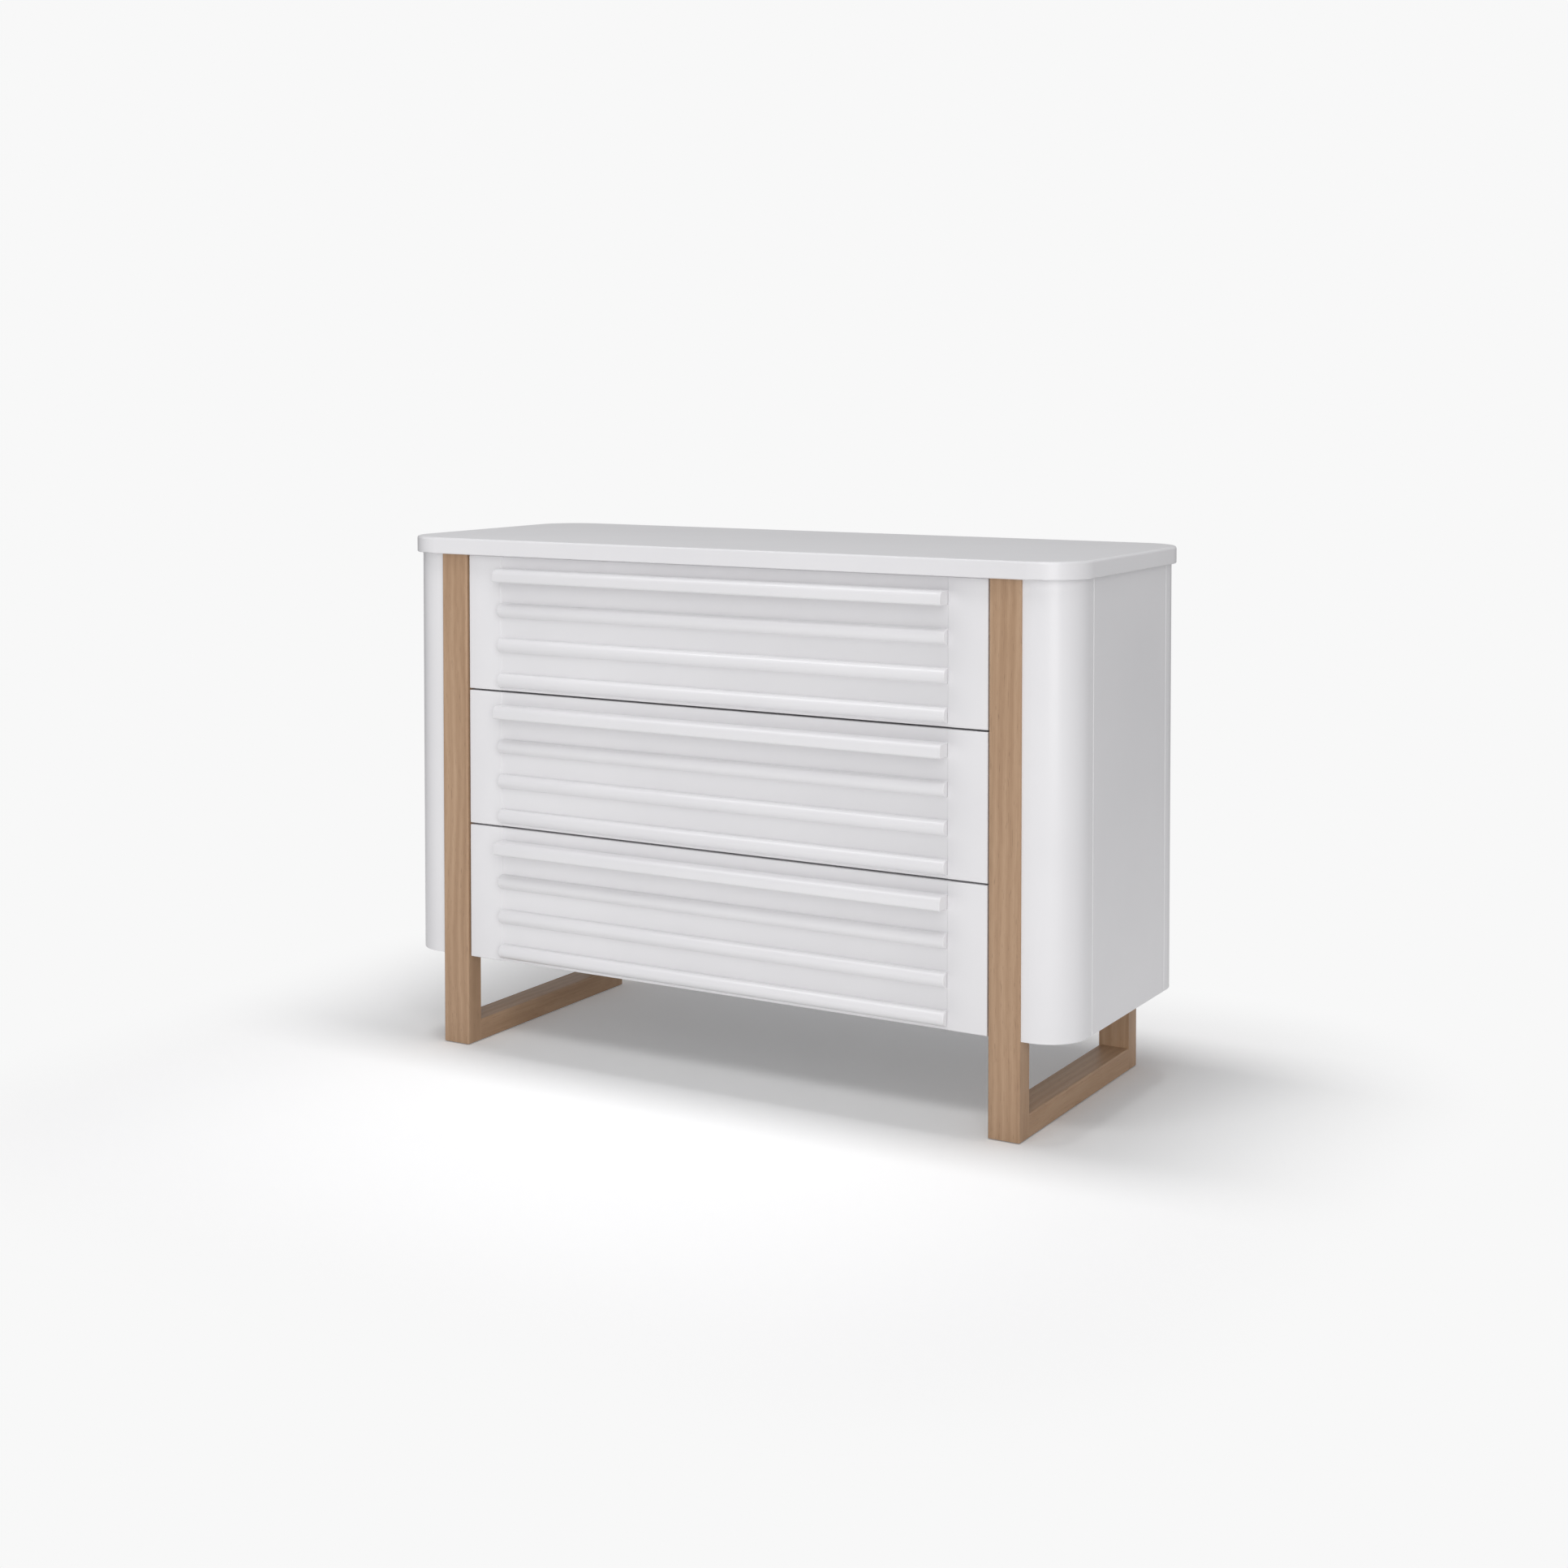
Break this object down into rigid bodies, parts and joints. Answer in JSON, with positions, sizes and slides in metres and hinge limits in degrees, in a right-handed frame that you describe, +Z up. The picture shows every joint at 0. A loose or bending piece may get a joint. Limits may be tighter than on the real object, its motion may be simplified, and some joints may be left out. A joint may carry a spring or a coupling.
{
  "type": "changing table",
  "caption": "Waist-high chest of drawers with a flat top used as a changing table: white case with rounded corners, ribbed drawer fronts and timber leg frames.",
  "frame": {"origin": "on the floor, under the centre of the object's overall box (pulls included)", "axes": "+Z up, the drawers open towards -Y, +X towards the right-hand leg frame seen from the front"},
  "size_m": [1.27, 0.5, 0.88],
  "materials": {
    "white_lacquer": "satin white lacquer on board",
    "white_board": "matt white melamine board",
    "drawer_board": "off-white foil on board",
    "leg_timber": "satin clear-coated hardwood, mid brown",
    "dowel_beech": "raw beech",
    "zinc_steel": "bright zinc plate",
    "nylon": "moulded nylon"
  },
  "bodies": {
    "case": {"top_panel": "white_lacquer", "back_panel": "white_lacquer", "bottom_panel": "white_board", "front_stretcher": "white_board", "rear_stretcher": "white_board", "front_left_corner_panel": "white_lacquer", "rear_left_corner_panel": "white_lacquer", "left_side_panel": "white_lacquer", "left_inner_gable": "white_board", "front_left_post": "leg_timber", "rear_left_post": "leg_timber", "left_foot_rail": "leg_timber", "front_right_corner_panel": "white_lacquer", "rear_right_corner_panel": "white_lacquer", "right_side_panel": "white_lacquer", "right_inner_gable": "white_board", "front_right_post": "leg_timber", "rear_right_post": "leg_timber", "right_foot_rail": "leg_timber", "foot_glides": "nylon", "rail_dowels": "dowel_beech", "cam_locks": "zinc_steel", "cam_bolts": "zinc_steel", "top_screws": "zinc_steel", "back_screws": "zinc_steel", "slide_cabinet_members": "zinc_steel"},
    "bottom_drawer": {"bottom_drawer_front": "white_lacquer", "bottom_drawer_pull": "white_lacquer", "bottom_drawer_ribs": "white_lacquer", "bottom_box_front": "drawer_board", "bottom_box_back": "drawer_board", "bottom_box_bottom": "drawer_board", "bottom_box_left_side": "drawer_board", "bottom_box_right_side": "drawer_board", "bottom_front_screws": "zinc_steel", "bottom_slide_drawer_members": "zinc_steel"},
    "bottom_slide_middles": {"bottom_slide_middle_members": "zinc_steel"},
    "middle_drawer": {"middle_drawer_front": "white_lacquer", "middle_drawer_pull": "white_lacquer", "middle_drawer_ribs": "white_lacquer", "middle_box_front": "drawer_board", "middle_box_back": "drawer_board", "middle_box_bottom": "drawer_board", "middle_box_left_side": "drawer_board", "middle_box_right_side": "drawer_board", "middle_front_screws": "zinc_steel", "middle_slide_drawer_members": "zinc_steel"},
    "middle_slide_middles": {"middle_slide_middle_members": "zinc_steel"},
    "top_drawer": {"top_drawer_front": "white_lacquer", "top_drawer_pull": "white_lacquer", "top_drawer_ribs": "white_lacquer", "top_box_front": "drawer_board", "top_box_back": "drawer_board", "top_box_bottom": "drawer_board", "top_box_left_side": "drawer_board", "top_box_right_side": "drawer_board", "top_front_screws": "zinc_steel", "top_slide_drawer_members": "zinc_steel"},
    "top_slide_middles": {"top_slide_middle_members": "zinc_steel"}
  },
  "joints": [
    {"name": "bottom_drawer_slide", "type": "slide", "parent": "case", "child": "bottom_drawer", "axis": [0, -1, 0], "range_m": [0, 0.4]},
    {"name": "bottom_middle_slide", "type": "slide", "parent": "case", "child": "bottom_slide_middles", "axis": [0, -1, 0], "range_m": [0, 0.2]},
    {"name": "middle_drawer_slide", "type": "slide", "parent": "case", "child": "middle_drawer", "axis": [0, -1, 0], "range_m": [0, 0.4]},
    {"name": "middle_middle_slide", "type": "slide", "parent": "case", "child": "middle_slide_middles", "axis": [0, -1, 0], "range_m": [0, 0.2]},
    {"name": "top_drawer_slide", "type": "slide", "parent": "case", "child": "top_drawer", "axis": [0, -1, 0], "range_m": [0, 0.4]},
    {"name": "top_middle_slide", "type": "slide", "parent": "case", "child": "top_slide_middles", "axis": [0, -1, 0], "range_m": [0, 0.2]}
  ],
  "couplings": [
    {"joint": "bottom_middle_slide", "follows": "bottom_drawer_slide", "ratio": 0.5},
    {"joint": "middle_middle_slide", "follows": "middle_drawer_slide", "ratio": 0.5},
    {"joint": "top_middle_slide", "follows": "top_drawer_slide", "ratio": 0.5}
  ]
}
